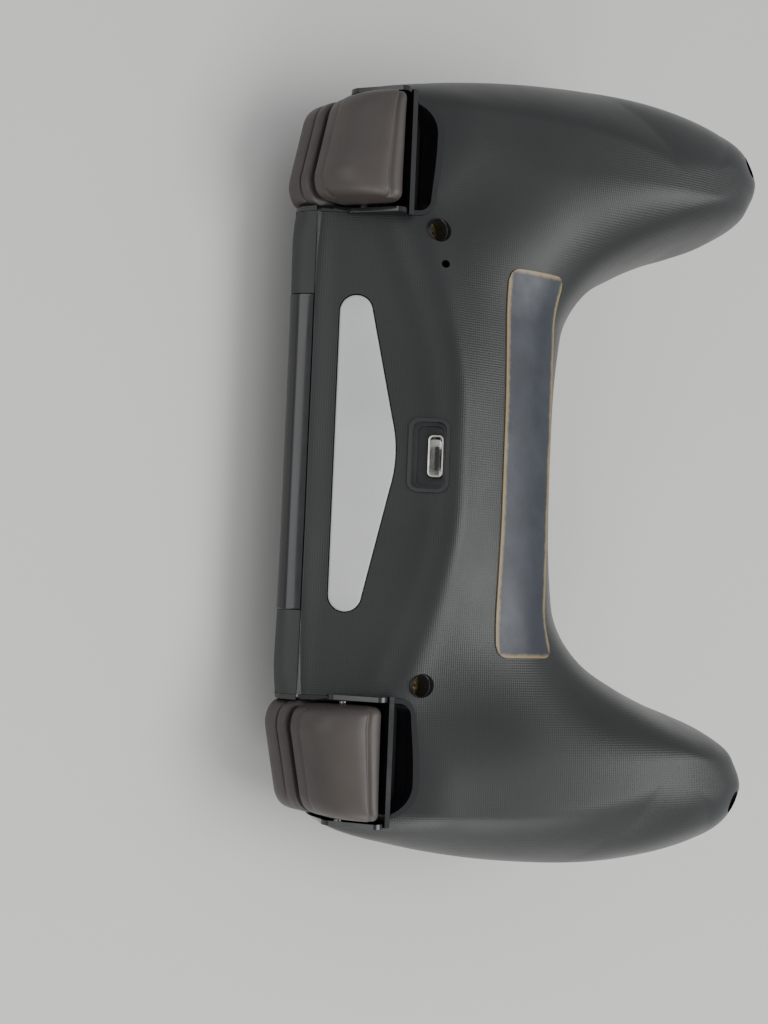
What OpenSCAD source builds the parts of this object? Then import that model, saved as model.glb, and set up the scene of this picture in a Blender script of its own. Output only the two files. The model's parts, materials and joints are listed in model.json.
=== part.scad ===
// Twin-grip wireless game controller, lying face down.
// +Z points out of the underside, -Y is the front edge with the light bar, +Y runs towards the grips.
// z = 0 is the plane that the two stick caps rest on, and x = 0 is the middle.

/* [Body] */
// Width across both grips
body_w = 161; // [158:0.5:164]
// Height of the flat face above the surface that the stick caps rest on
face_z = 9; // [8.8:0.1:9.2]
// Wall thickness of both shells
wall = 2; // [1.8:0.1:2.2]
// Gap along the seam between the two shells
seam_gap = 0.2; // [0.1:0.05:0.3]
// Height of the grips' highest point
grip_z = 57; // [56:0.5:58]
// Slope of the front panel, measured from the horizontal
panel_slope = 42; // [41:1:43]

/* [Controls] */
// Distance of each stick from the middle
stick_x = 25; // [24.5:0.1:25.5]
// Distance of each stick behind the stick line
stick_y = 0; // [-0.2:0.1:0.2]
// Diameter of a stick cap
cap_d = 18.6; // [18:0.1:19]
// Distance of the button clusters from the middle
cluster_x = 50; // [49.5:0.1:50.5]
// Distance from a cluster's centre to each of its buttons
button_pitch = 10.2; // [10:0.1:10.4]
// Diameter of an action button
button_d = 10.4; // [10:0.1:10.6]
// Width of the touchpad
touchpad_w = 60; // [59:0.5:61]

/* [Front] */
// Length of the light bar
light_len = 60.4; // [58:0.2:61]
// Distance of each trigger from the middle
trigger_x = 57.8; // [57.4:0.1:58.2]
// Width of a trigger
trigger_w = 21.8; // [21.4:0.1:22]
// Bore of the headset jack
jack_d = 3.5; // [3.4:0.05:3.6]

/* [Hidden] */

half_w = body_w / 2;
front_y = -46;
rear_y = 13;
tip_y = 50;
panel_z = 17;

// Outline at seam height, right half, as [x, y] stations that pair up by index:
// along the front and outer side to the grip tip, and along the rear and inner side to the same tip.
// Each pair of lists has one more entry, past the tip, which is the other list's last station before it.
front_run = [[0, front_y], [22, front_y], [42, -46.5], [57, -47.2], [69.2, -41.5], [75, -26],
    [79.4, -3], [half_w, 20], [76.2, 42.5], [66, tip_y], [57.2, 47.6]];
rear_run = [[0, rear_y], [17, 13.6], [30, 16], [38.5, 19.5], [43.6, 26], [47.4, 32.5],
    [50, 38.5], [52.6, 43.2], [57.2, 47.6], [66, tip_y], [76.2, 42.5]];
// Middle line of the body and the grip, where the two skins are highest.
core_run = [[0, -12], [16, -12], [31, -11], [43, -8], [52, -2], [57, 6],
    [60, 15], [62, 22], [63, 28], [63, 32.5]];
// Height of the seam, and the rounding radius of the underside and of the face, at the same stations.
seam_front = [panel_z, panel_z, 17.5, 18.5, 20, 22, 26.5, 32, 38, 41.5, 40.5];
seam_rear = [20, 20, 20.5, 22, 25, 29, 33, 37, 40.5, 41.5, 38];
under_front = [3, 3, 3, 4, 8, 16, 22, 22, 18, 16];
under_rear = [20, 20, 19, 17, 16, 16, 16, 16, 16, 16];
face_front = [5, 5, 5, 5, 7, 9, 12, 15, 15, 14];
face_rear = [7, 7, 8, 10, 13, 14, 15, 15, 14, 14];

steps = 3;
stations = len(core_run) - 1;
half_ring = 2 * stations * steps;
ring = 2 * half_ring;
rows = 8;

function clamp(v, lo, hi) = max(lo, min(hi, v));
function smooth(lo, hi, v) = let (q = clamp((v - lo) / (hi - lo), 0, 1)) q * q * (3 - 2 * q);
function soft_min(a, b, k) = let (h = max(k - abs(a - b), 0) / k) min(a, b) - h * h * k / 4;

// Catmull-Rom value of a list of stations at position a, counted in stations.
function along(list, a) =
    let (i = min(floor(a), stations - 1), q = a - i,
        p0 = list[max(i - 1, 0)], p1 = list[i], p2 = list[i + 1], p3 = list[min(i + 2, len(list) - 1)])
    0.5 * (2 * p1 + (p2 - p0) * q + (2 * p0 - 5 * p1 + 4 * p2 - p3) * q * q
        + (3 * p1 - p0 - 3 * p2 + p3) * q * q * q);

// Station position and side of the seam's ring point i.
function station(i) = let (j = i < half_ring ? i : ring - i) (j <= half_ring / 2 ? j : half_ring - j) / steps;
function on_front(i) = i <= half_ring / 2 || i >= ring - half_ring / 2;
function side(i) = i <= half_ring ? 1 : -1;

// Height of the underside, without its rounded edge.
function under_z(x, y) =
    let (body = 38 - (y < -8 ? 0.006 : 0.014) * (y + 8) * (y + 8),
        grip = 31 + (grip_z - 31) * pow(sin(90 * clamp((y + 40) / 76, 0, 1)), 1.5),
        blend = smooth(28, 58, abs(x)),
        panel = panel_z + 0.5 + tan(panel_slope) * (y - front_y))
    soft_min(panel, body + (grip - body) * blend, 3);
// Height of the face, without its rounded edge.
function upper_z(x, y) = face_z + smooth(30, 50, abs(x)) * 0.0316 * pow(max(y, 0), 1.72);

function rounded(q) = sqrt(1 - pow(1 - clamp(q, 0, 1), 2));

// How far the front edge of the face rolls forward, at height share q.
function nose(x, q) = 3 * sin(180 * q) * (1 - smooth(40, 56, x));

// One point of a skin: ring position i, share t of the way in, under = 1 for the underside, inset from outside.
function skin_point(i, t, under, inset) =
    let (a = station(i), f = on_front(i),
        core = along(core_run, a),
        edge0 = along(f ? front_run : rear_run, a),
        reach0 = norm(core - edge0),
        edge = edge0 + (core - edge0) * inset / reach0,
        p = edge + (core - edge) * t,
        seam = along(f ? seam_front : seam_rear, a),
        radius = under ? along(f ? under_front : under_rear, a) : along(f ? face_front : face_rear, a),
        q = rounded(t * (reach0 - inset) / min(max(radius - inset, 1), reach0 - inset)),
        flat = under ? under_z(p[0], p[1]) - inset : upper_z(p[0], p[1]) + inset,
        base = seam + (under ? 1 : -1) * seam_gap / 2)
    [side(i) * p[0], p[1] - (under || !f ? 0 : nose(p[0], q)), base + (flat - base) * q];

// The skin's points row by row, ending in the shared points of the middle line.
function skin_points(under, inset) = concat(
    [for (r = [0:rows - 1]) for (i = [0:ring - 1]) skin_point(i, pow(r / rows, 1.6), under, inset)],
    [for (q = [0:half_ring / 2]) skin_point(q, 1, under, inset)],
    [for (q = [1:half_ring / 2]) skin_point(ring - q, 1, under, inset)]);
skin_size = rows * ring + half_ring + 1;

function core_index(i) =
    let (k = i % ring, q = k <= half_ring ? min(k, half_ring - k) : min(k - half_ring, ring - k))
    rows * ring + (q == 0 || k <= half_ring ? q : half_ring / 2 + q);
function flip(face, yes) = yes ? [for (k = [len(face) - 1:-1:0]) face[k]] : face;
function shift(faces, by) = [for (f = faces) [for (v = f) v + by]];

// Faces of one skin; turned reverses their direction.
function skin_faces(turned) = concat(
    [for (r = [0:rows - 2]) for (i = [0:ring - 1]) let (n = (i + 1) % ring)
        each [flip([r * ring + i, (r + 1) * ring + i, (r + 1) * ring + n], turned),
            flip([r * ring + i, (r + 1) * ring + n, r * ring + n], turned)]],
    [for (i = [0:ring - 1]) let (n = (i + 1) % ring, b = (rows - 1) * ring)
        each [flip([b + i, core_index(i), core_index(i + 1)], turned),
            flip([b + i, core_index(i + 1), b + n], turned)]]);
function rim_faces(turned) = [for (i = [0:ring - 1]) let (n = (i + 1) % ring)
    each [flip([i, n, skin_size + n], turned), flip([i, skin_size + n, skin_size + i], turned)]];

// A shell of the given wall: outer skin, inner skin and the rim at the seam.
module shell_half(under, outer = 0, inner = wall) {
    polyhedron(
        points = concat(skin_points(under, outer), skin_points(under, inner)),
        faces = concat(skin_faces(!under), shift(skin_faces(under), skin_size), rim_faces(!under)),
        convexity = 8);
}

// Rounded bar between two points, for slots, ribs and soft blocks.
module bar(p, q, r) {
    hull() {
        translate(p) sphere(r, $fn = 24);
        translate(q) sphere(r, $fn = 24);
    }
}

// Block with its four upright edges rounded.
module block(size, r = 1, fn = 20) {
    hull() for (sx = [-1, 1]) for (sy = [-1, 1])
        translate([sx * (size[0] / 2 - r), sy * (size[1] / 2 - r), 0]) cylinder(r = r, h = size[2], $fn = fn);
}

// Places its children on the front panel: local X runs across, local Y up the slope, local Z out of it.
module on_panel(rise = 0) {
    translate([0, front_y, panel_z + 0.5]) rotate([panel_slope, 0, 0]) translate([0, rise, 0]) children();
}

jack_x = -11;
light_rise = 4.6;
light_end_h = 6.4;
light_h = 11.8;
usb_rise = 22.6;
usb_w = 14.2;
usb_h = 8;

// Light bar outline: a long straight lower edge and an upper edge that climbs to a rounded middle.
module light_outline(grow = 0) {
    hull() {
        for (s = [-1, 1]) translate([s * (light_len / 2 - light_end_h / 2), light_end_h / 2])
            circle(light_end_h / 2 + grow, $fn = 48);
        translate([0, light_h - 26]) intersection() {
            circle(26 + grow, $fn = 120);
            translate([-8, 22]) square([16, 6]);
        }
    }
}

// Space that a shoulder group takes out of the shells, on the side given by s.
module shoulder_space(s) {
    translate([s * trigger_x, 0, 0]) hull() {
        for (x = [-1, 1]) {
            translate([x * (trigger_w / 2 - 0.6), -54, face_z + 3]) sphere(2, $fn = 16);
            translate([x * (trigger_w / 2 - 0.6), -33, face_z + 3]) sphere(2, $fn = 16);
            translate([x * (trigger_w / 2 - 0.6), -54, 33]) sphere(2, $fn = 16);
            translate([x * (trigger_w / 2 - 0.6), -31, 33]) sphere(2, $fn = 16);
        }
    }
}

screw_places = [[43.6, -28, 32.4], [67, 40, 53]];

module screw_wells() {
    for (s = [-1, 1]) for (p = screw_places)
        translate([s * p[0], p[1], p[2] - 5]) cylinder(d = 4.6, h = 12, $fn = 32);
}

// Screw post inside the lower shell.
module screw_post(s, p) {
    hull() {
        translate([s * p[0], p[1], p[2] - 11]) cylinder(d = 6.6, h = 9, $fn = 32);
        translate([s * p[0], p[1], p[2] - 3.5]) cylinder(d = 7.6, h = 1.5, $fn = 32);
    }
}

label_depth = 0.45;
label_y = -7.4;

// Layer of the underside's skin that the label takes up, from the outer offset down to the label's back.
module label_layer(outer, grow) {
    intersection() {
        shell_half(1, outer, label_depth);
        translate([0, label_y, 30]) block([76 + 2 * grow, 13.6 + 2 * grow, 16], 2.4 + grow, 32);
    }
}

module lower_shell() {
    color("#1b1d1c") difference() {
        union() {
            shell_half(1);
            intersection() {
                for (s = [-1, 1]) for (p = screw_places) screw_post(s, p);
                shell_half(1, 0.6, 14);
            }
        }
        on_panel(light_rise) translate([0, 0, -6]) linear_extrude(12) light_outline(0.15);
        on_panel(usb_rise - usb_h / 2) translate([0, usb_h / 2, -5]) block([usb_w, usb_h, 12], 2);
        for (s = [-1, 1]) shoulder_space(s);
        screw_wells();
        for (s = [-1, 1]) for (p = screw_places)
            translate([s * p[0], p[1], p[2] - 14]) cylinder(d = 2.2, h = 12, $fn = 24);
        on_panel(24.5) translate([-37, 0, -4]) cylinder(d = 1.6, h = 8, $fn = 24);
        label_layer(-1, 0.15);
        translate([jack_x, rear_y, 17]) rotate([90, 0, 0]) translate([0, 0, -4]) cylinder(d = 6.4, h = 12, $fn = 24);
        translate([0, rear_y - 4, 17]) rotate([90, 0, 0]) translate([0, 0, -8]) block([15, 5.4, 12], 1);
    }
}

dish_d = 31;
cluster_y = -20.5;
well_d = 26;
home_y = 2.6;
speaker_y = -9.5;

module button_holes(d) {
    for (k = [0:3]) translate([cluster_x, cluster_y, 0]) rotate(90 * k) translate([button_pitch, 0, 0])
        cylinder(d = d, h = 8, $fn = 28);
}

// One arm of the direction pad, pointing along +X from the cluster's centre.
module dpad_arm(grow, h) {
    hull() {
        translate([12.6, -3.4, 0]) cylinder(r = 1 + grow, h = h, $fn = 24);
        translate([12.6, 3.4, 0]) cylinder(r = 1 + grow, h = h, $fn = 24);
        translate([7.2, -3.4, 0]) cylinder(r = 1 + grow, h = h, $fn = 24);
        translate([7.2, 3.4, 0]) cylinder(r = 1 + grow, h = h, $fn = 24);
        translate([4.2, 0, 0]) cylinder(r = 1 + grow, h = h, $fn = 24);
    }
}

module dpad_arms(grow, h) {
    translate([-cluster_x, cluster_y, 0]) for (k = [0:3]) rotate(90 * k) dpad_arm(grow, h);
}

menu_places = [[-35.2, -33.5], [35.2, -33.5]];

module menu_slot(p, grow, h) {
    hull() for (e = [-1, 1]) translate([p[0], p[1] + 2.2 * e, 0]) cylinder(r = 1.7 + grow, h = h, $fn = 24);
}

touchpad_rear = -16.2;

// Plan of the touchpad: straight sides, rounded rear corners, open to the front.
module touchpad_plan(grow, h) {
    hull() {
        for (s = [-1, 1]) {
            translate([s * (touchpad_w / 2 - 3), touchpad_rear - 3, 0]) cylinder(r = 3 + grow, h = h, $fn = 32);
            translate([s * (touchpad_w / 2 - 3), front_y - 2, 0]) cylinder(r = 3 + grow, h = h, $fn = 32);
        }
    }
}

// Raised ring and bowl around each stick, and the wall that closes its rear, part of the upper shell.
module stick_surround() {
    translate([0, 0, face_z - 0.6]) rotate_extrude($fn = 48) polygon([[well_d / 2, 0.3], [well_d / 2 + 0.8, 0],
        [well_d / 2 + 1.8, 0.4], [well_d / 2 + 2.4, 1.6], [well_d / 2 + 1.6, 3.4], [8.6, 5.6], [8.6, 4.2],
        [well_d / 2 - 0.6, 2.2]]);
    intersection() {
        difference() {
            cylinder(r = 15.1, h = 19.8, $fn = 48);
            cylinder(r = 13.7, h = 20, $fn = 48);
        }
        translate([-9.4, 8, face_z + 0.6]) cube([18.8, 8, 12]);
    }
}

module upper_shell() {
    color("#222423") difference() {
        union() {
            difference() {
                shell_half(0);
                for (s = [-1, 1]) translate([s * stick_x, stick_y, 0]) cylinder(d = well_d + 1, h = 14, $fn = 48);
            }
            for (s = [-1, 1]) translate([s * stick_x, stick_y, 0]) stick_surround();
            for (s = [-1, 1]) hull() {
                translate([s * 67, 40, 35]) cylinder(d = 5, h = 5, $fn = 24);
                translate([s * 67, 40, 34]) cylinder(d = 6, h = 1, $fn = 24);
            }
        }
        translate([0, 0, face_z - 2]) touchpad_plan(0.2, 12);
        translate([cluster_x, cluster_y, face_z - 0.3]) cylinder(d = dish_d, h = 0.9, $fn = 48);
        translate([-cluster_x, cluster_y, face_z - 0.3]) cylinder(d = dish_d, h = 0.9, $fn = 48);
        translate([0, 0, face_z - 2]) button_holes(button_d + 0.7);
        translate([0, 0, face_z - 2]) dpad_arms(0.4, 8);
        for (p = menu_places) translate([0, 0, face_z - 2]) menu_slot(p, 0.3, 8);
        translate([0, home_y, face_z - 2]) cylinder(d = 10.8, h = 8, $fn = 48);
        for (k = [-2:2]) for (m = [-1:1]) translate([2.4 * k, speaker_y + 2 * m, face_z - 2])
            cylinder(d = 1.2, h = 8, $fn = 10);
        for (s = [-1, 1]) shoulder_space(s);
        translate([jack_x, rear_y, 17]) rotate([90, 0, 0]) translate([0, 0, -4]) cylinder(d = 6.4, h = 12, $fn = 24);
        translate([0, rear_y - 4, 17]) rotate([90, 0, 0]) translate([0, 0, -8]) block([15, 5.4, 12], 1);
        for (s = [-1, 1]) translate([s * 67, 40, 35]) cylinder(d = 2, h = 7, $fn = 16);
    }
}

module touchpad() {
    color("#0c0c0e") intersection() {
        union() {
            shell_half(0, -0.15, 1.6);
            for (s = [-1, 1]) bar([s * 20, -18, face_z + 1.2], [s * 20, -40, face_z + 1.2], 0.6);
        }
        translate([0, 0, face_z - 3]) touchpad_plan(0, 12);
    }
}

// Small board behind the touchpad with the click switch in its middle.
module touchpad_board() {
    color("#1f5134") union() {
        translate([-24, -39, 14]) cube([48, 22, 1]);
        translate([-3, -27, 12.4]) cube([6, 6, 1.7]);
        translate([0, -24, 11.4]) cylinder(d = 2.6, h = 1.2, $fn = 24);
    }
}

module light_bar() {
    color("#dedfd8") on_panel(light_rise) translate([0, 0, -2.4]) linear_extrude(2.3) light_outline(0);
}

module light_guide() {
    color("#f4f4f0") on_panel(light_rise) union() {
        translate([0, 0, -4.2]) linear_extrude(1.7) light_outline(-1.6);
        translate([-4, 2, -6.2]) cube([8, 4, 2.1]);
    }
}

bumper_top = 18.2;

// Side profile of a bumper as a [y, z] loop: its rounded nose faces front.
module bumper_profile() {
    hull() {
        translate([-48, 13.2]) circle(3, $fn = 48);
        translate([-48.4, 15.6]) circle(2.4, $fn = 48);
        translate([-40, 11.8]) square([1, 6.2]);
    }
}

// Side profile of a trigger: lip, forward-facing pad, and the tail that curls under the shell.
module trigger_profile() {
    hull() {
        translate([-47.8, 21.4]) circle(2.2, $fn = 48);
        translate([-47, 24.8]) circle(2.6, $fn = 48);
        translate([-42.4, 30]) circle(2.4, $fn = 48);
        translate([-39.4, 30.2]) circle(2, $fn = 48);
        translate([-38.4, 19.4]) square([1.6, 8]);
    }
}

// Outline of a bumper and a trigger seen from above, swept back towards the outer side.
module shoulder_plan(s) {
    translate([s * trigger_x, 0, 8]) linear_extrude(28) hull() {
        translate([-s * (trigger_w / 2 - 4.5), -46.5]) circle(4.5, $fn = 64);
        translate([s * (trigger_w / 2 - 6), -42.4]) circle(5.6, $fn = 64);
        translate([-trigger_w / 2, -41]) square([trigger_w, 6]);
    }
}

// Turns a [y, z] profile into a plate of the given width, centred on x.
module plate(x, width) {
    translate([x - width / 2, 0, 0]) rotate([90, 0, 90]) linear_extrude(width) children();
}

module bumper(s) {
    color("#3a3431") union() {
        intersection() {
            plate(s * trigger_x, trigger_w) bumper_profile();
            shoulder_plan(s);
        }
        plate(s * trigger_x, 6) translate([-39.2, 14.6]) square([1.8, 2.4]);
    }
}

trigger_axis = [-38.6, 21.6];
pin_r = 0.9;

module trigger(s) {
    color("#3a3431") difference() {
        union() {
            intersection() {
                plate(s * trigger_x, trigger_w - 1) trigger_profile();
                shoulder_plan(s);
            }
            plate(s * trigger_x, trigger_w - 7) translate(trigger_axis) circle(2.4, $fn = 48);
        }
        plate(s * trigger_x, trigger_w + 6) translate(trigger_axis) circle(pin_r + 0.15, $fn = 48);
        plate(s * trigger_x, 5) translate([-41.5, 16]) square([6.4, 11]);
    }
}

module trigger_pin(s) {
    color("#c9c9c4") plate(s * trigger_x, trigger_w + 2) translate(trigger_axis) circle(pin_r, $fn = 48);
}

module trigger_spring(s) {
    color("#b8b8b2") plate(s * trigger_x, 3.6) translate(trigger_axis) difference() {
        circle(2, $fn = 32);
        circle(1.3, $fn = 32);
    }
}

// Bracket behind a shoulder group, with a cheek on each side that carries the pin.
module trigger_bezel(s) {
    color("#0e0e10") difference() {
        union() {
            for (x = [-1, 1]) plate(s * trigger_x + x * (trigger_w / 2 + 0.75), 0.9) hull() {
                translate([-40.2, 21.6]) circle(2, $fn = 32);
                translate([-36, 29]) circle(1.6, $fn = 32);
                translate([-34.8, 20.6]) circle(1.4, $fn = 32);
            }
            translate([s * trigger_x - trigger_w / 2 - 1.2, -34.4, 19.2]) cube([trigger_w + 2.4, 1.2, 11]);
        }
        plate(s * trigger_x, trigger_w + 8) translate(trigger_axis) circle(pin_r, $fn = 48);
    }
}

module action_button(k) {
    color("#1d1d20") translate([cluster_x, cluster_y, 0]) rotate(90 * k) translate([button_pitch, 0, 0]) union() {
        translate([0, 0, face_z - 2.2]) rotate_extrude($fn = 64) polygon([[0, 0], [button_d / 2 - 1.6, 0.15],
            [button_d / 2 - 0.4, 0.7], [button_d / 2, 1.4], [button_d / 2, 7.4], [0, 7.4]]);
        translate([0, 0, face_z + 3.6]) cylinder(d = button_d + 1, h = 1.6, $fn = 64);
    }
}

module dpad() {
    color("#26272a") union() {
        translate([0, 0, face_z - 2]) dpad_arms(0, 6);
        translate([-cluster_x, cluster_y, face_z + 3.6]) cylinder(d = 26, h = 1.6, $fn = 64);
    }
}

module dpad_spacer() {
    color("#e6e6e2") translate([-cluster_x, cluster_y, face_z + 5.5]) difference() {
        cylinder(d = 10.8, h = 1.2, $fn = 64);
        translate([0, 0, -1]) cylinder(d = 5, h = 4, $fn = 48);
    }
}

module menu_button(p) {
    color("#26272a") union() {
        translate([0, 0, face_z - 0.8]) menu_slot(p, 0, 5);
        translate([0, 0, face_z + 2.9]) menu_slot(p, 0.8, 1.2);
    }
}

module home_button() {
    color("#26272a") translate([0, home_y, 0]) union() {
        translate([0, 0, face_z + 0.1]) cylinder(d = 10.2, h = 3.6, $fn = 64);
        translate([0, 0, face_z + 3]) cylinder(d = 11.2, h = 1, $fn = 64);
    }
}

module rubber_mat(s) {
    nub_h = s < 0 ? 0.9 : 1.8;
    color("#8f9194") translate([s * cluster_x, cluster_y, 17.2]) difference() {
        union() {
            cylinder(d = 26, h = 1.2, $fn = 64);
            for (k = [0:3]) rotate(90 * k) translate([button_pitch - (s < 0 ? 1.6 : 0), 0, -nub_h])
                cylinder(d = 4.6, h = nub_h + 0.5, $fn = 40);
        }
        translate([0, 0, -1]) cylinder(d = 4, h = 4, $fn = 32);
    }
}

gimbal_z = 19.5;

module at_stick(s) {
    translate([s * stick_x, stick_y, gimbal_z]) children();
}

module stick_module(s) {
    color("#4c5a52") at_stick(s) difference() {
        union() {
            translate([-5.7, -5.7, -2.8]) cube([11.4, 11.4, 7]);
            translate([5.7, -4, 0.8]) cube([2.6, 8, 3.4]);
            translate([-4, 5.7, 0.8]) cube([8, 2.6, 3.4]);
        }
        translate([-5, -5, -6]) cube([10, 10, 9.4]);
    }
}

module stick_rocker(s) {
    color("#d9d6cc") at_stick(s) difference() {
        translate([-4.8, -4, -2]) cube([9.6, 8, 4]);
        translate([-3.8, -3, -3]) cube([7.6, 6, 6]);
    }
}

module stick_yoke(s) {
    color("#3b3d3c") at_stick(s) difference() {
        translate([-3.2, -2.7, -1.6]) cube([6.4, 5.4, 3.2]);
        translate([0, 0, -3]) cylinder(r = 1.75, h = 6, $fn = 48);
    }
}

module stick_shaft(s) {
    color("#b9bbb8") at_stick(s) translate([0, 0, -12]) cylinder(r = 1.6, h = 13.9, $fn = 48);
}

// Stick cap: flat rim that stands on the table, dished middle, neck and a domed skirt.
module stick_cap(s) {
    color("#2a2b2d") translate([s * stick_x, stick_y, 0]) difference() {
        rotate_extrude($fn = 96) union() {
            polygon([[0, 1], [5.4, 0.9], [6.6, 0.3], [7, 0], [cap_d / 2 - 0.9, 0], [cap_d / 2, 0.9], [cap_d / 2, 2.6],
                [cap_d / 2 - 1, 3.6], [4.6, 4.4], [3.9, 5.6], [3.9, 9.4], [4.6, 10.4], [0, 10.4]]);
            translate([0, gimbal_z]) intersection() {
                difference() {
                    circle(10, $fn = 120);
                    circle(9.1, $fn = 120);
                }
                polygon([[0, 0], [11.4, -4.2], [11.4, -12], [0, -12]]);
            }
        }
        translate([0, 0, 7.5]) cylinder(r = 1.6, h = 6, $fn = 48);
    }
}

board_z = 24.2;

module main_board() {
    color("#1f5134") difference() {
        union() {
            translate([0, -11, board_z]) block([78, 38, 1.4], 2);
            translate([-34, 4, board_z]) cube([68, 4.4, 1.4]);
        }
        for (s = [-1, 1]) translate([s * stick_x, stick_y, board_z - 1]) cylinder(d = 2.6, h = 4, $fn = 32);
    }
}

module battery() {
    color("#3f6f9c") translate([0, -10, board_z + 3]) block([46, 21, 5.8], 3);
}

module battery_tray() {
    color("#2e3130") difference() {
        translate([0, -10, board_z + 1.6]) block([50, 25, 5.6], 2);
        translate([0, -10, board_z + 2.8]) block([47, 22.6, 8], 2);
    }
}

module speaker() {
    color("#6d6f70") translate([0, speaker_y, face_z + 2.4]) union() {
        block([15, 9, 2.6], 2);
        translate([0, 0, 2.4]) cylinder(d = 7, h = 1.4, $fn = 40);
    }
}

module reset_switch() {
    color("#c4c4c0") translate([-37, -27.2, board_z + 1.4]) union() {
        translate([-1.5, -1.5, 0]) cube([3, 3, 1.6]);
        translate([0, 0, 1.4]) cylinder(d = 1.2, h = 0.8, $fn = 24);
    }
}

module usb_port() {
    color("#d6d3cb") on_panel(usb_rise + 1.4) translate([0, 0, -6.6]) difference() {
        block([7.9, 2.9, 5], 0.9);
        translate([0, 0, 0.6]) block([7.2, 2.2, 6], 0.6);
    }
}

module usb_tongue() {
    color("#101012") on_panel(usb_rise + 1.4) translate([-1.9, -0.1, -6]) cube([3.8, 0.7, 3.6]);
}

module headset_jack() {
    color("#111214") translate([jack_x, rear_y - 0.8, 17]) rotate([90, 0, 0]) difference() {
        union() {
            cylinder(d = 5.8, h = 2.6, $fn = 64);
            translate([-3.4, -3, 2.6]) cube([6.8, 6, 10]);
        }
        translate([0, 0, -1]) cylinder(d = jack_d, h = 13.2, $fn = 64);
    }
}

module extension_port() {
    color("#0f1012") translate([0, rear_y - 1.2, 17]) rotate([90, 0, 0]) difference() {
        block([14.4, 4.8, 8], 0.8);
        translate([0, 0, -1]) block([12.6, 3, 6], 0.5);
    }
}

motor_axis_z = 38.5;

module motor_place(s) {
    translate([s * 60, 10, motor_axis_z]) rotate([-62, 0, 0]) children();
}

module rumble_motor(s) {
    color("#a9abad") motor_place(s) union() {
        cylinder(d = 15, h = 14, $fn = 64);
        translate([0, 0, -3]) cylinder(d = 2, h = 17, $fn = 32);
    }
}

module rumble_weight(s) {
    color("#74767a") motor_place(s) translate([0, 0, -4.6]) difference() {
        intersection() {
            cylinder(d = s < 0 ? 16 : 13, h = 4, $fn = 64);
            union() {
                translate([-10, -1.8, -1]) cube([20, 12, 6]);
                translate([0, 0, -1]) cylinder(d = 4.4, h = 6, $fn = 32);
            }
        }
        translate([0, 0, -1]) cylinder(d = 2, h = 6, $fn = 32);
    }
}

module case_screws() {
    color("#b8a56c") for (s = [-1, 1]) for (p = screw_places) translate([s * p[0], p[1], p[2] - 7]) difference() {
        union() {
            translate([0, 0, 2]) cylinder(d = 4, h = 1.6, $fn = 48);
            translate([0, 0, -5]) cylinder(d = 1.8, h = 7.1, $fn = 32);
        }
        for (a = [0, 90]) rotate(a) translate([-1.2, -0.25, 3]) cube([2.4, 0.5, 1]);
    }
}

module label() {
    color("#2c3038") label_layer(0.05, 0);
}

upper_shell();
lower_shell();
touchpad();
touchpad_board();
light_bar();
light_guide();
bumper(-1);  // left_bumper
bumper(1);  // right_bumper
trigger(-1);  // left_trigger
trigger(1);  // right_trigger
trigger_bezel(-1);  // left_trigger_bezel
trigger_bezel(1);  // right_trigger_bezel
trigger_pin(-1);  // left_trigger_pin
trigger_pin(1);  // right_trigger_pin
trigger_spring(-1);  // left_trigger_spring
trigger_spring(1);  // right_trigger_spring
dpad();
dpad_spacer();
action_button(3);  // button_north
action_button(1);  // button_south
action_button(0);  // button_east
action_button(2);  // button_west
menu_button(menu_places[0]);  // left_menu_button
menu_button(menu_places[1]);  // right_menu_button
home_button();
rubber_mat(-1);  // left_rubber_mat
rubber_mat(1);  // right_rubber_mat
stick_module(-1);  // left_stick_module
stick_module(1);  // right_stick_module
stick_rocker(-1);  // left_stick_rocker
stick_rocker(1);  // right_stick_rocker
stick_yoke(-1);  // left_stick_yoke
stick_yoke(1);  // right_stick_yoke
stick_shaft(-1);  // left_stick_shaft
stick_shaft(1);  // right_stick_shaft
stick_cap(-1);  // left_stick_cap
stick_cap(1);  // right_stick_cap
main_board();
battery();
battery_tray();
speaker();
reset_switch();
usb_port();
usb_tongue();
headset_jack();
extension_port();
rumble_motor(-1);  // left_rumble_motor
rumble_motor(1);  // right_rumble_motor
rumble_weight(-1);  // left_rumble_weight
rumble_weight(1);  // right_rumble_weight
case_screws();
label();
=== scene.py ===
"""Looks of the twin-grip game controller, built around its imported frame."""

import json
import math

import bpy
import numpy as np
from mathutils import Matrix, Vector


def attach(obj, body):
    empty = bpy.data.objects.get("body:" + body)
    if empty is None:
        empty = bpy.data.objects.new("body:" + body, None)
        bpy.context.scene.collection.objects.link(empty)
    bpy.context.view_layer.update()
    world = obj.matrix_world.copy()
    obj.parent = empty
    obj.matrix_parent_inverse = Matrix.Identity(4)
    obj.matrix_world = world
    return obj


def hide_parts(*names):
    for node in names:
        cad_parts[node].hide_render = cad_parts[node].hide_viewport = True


bl_info = {
    "name": "Twin-grip game controller",
    "version": (1, 0, 0),
    "blender": (4, 5, 0),
    "location": "3D View > Sidebar > Controller",
    "description": "Builds the shells, triggers, sticks, buttons and finishes of a game controller",
    "category": "Object",
}

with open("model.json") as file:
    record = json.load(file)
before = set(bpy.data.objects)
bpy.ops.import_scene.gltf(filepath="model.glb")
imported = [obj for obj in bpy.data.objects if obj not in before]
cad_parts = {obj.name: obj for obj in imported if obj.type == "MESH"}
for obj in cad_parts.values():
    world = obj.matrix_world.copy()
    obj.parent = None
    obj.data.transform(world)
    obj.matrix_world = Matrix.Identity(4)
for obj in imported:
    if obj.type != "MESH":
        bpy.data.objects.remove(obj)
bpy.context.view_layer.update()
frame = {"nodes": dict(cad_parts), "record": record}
MM = 0.001

# ---------------------------------------------------------------- body shape, in millimetres

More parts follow.
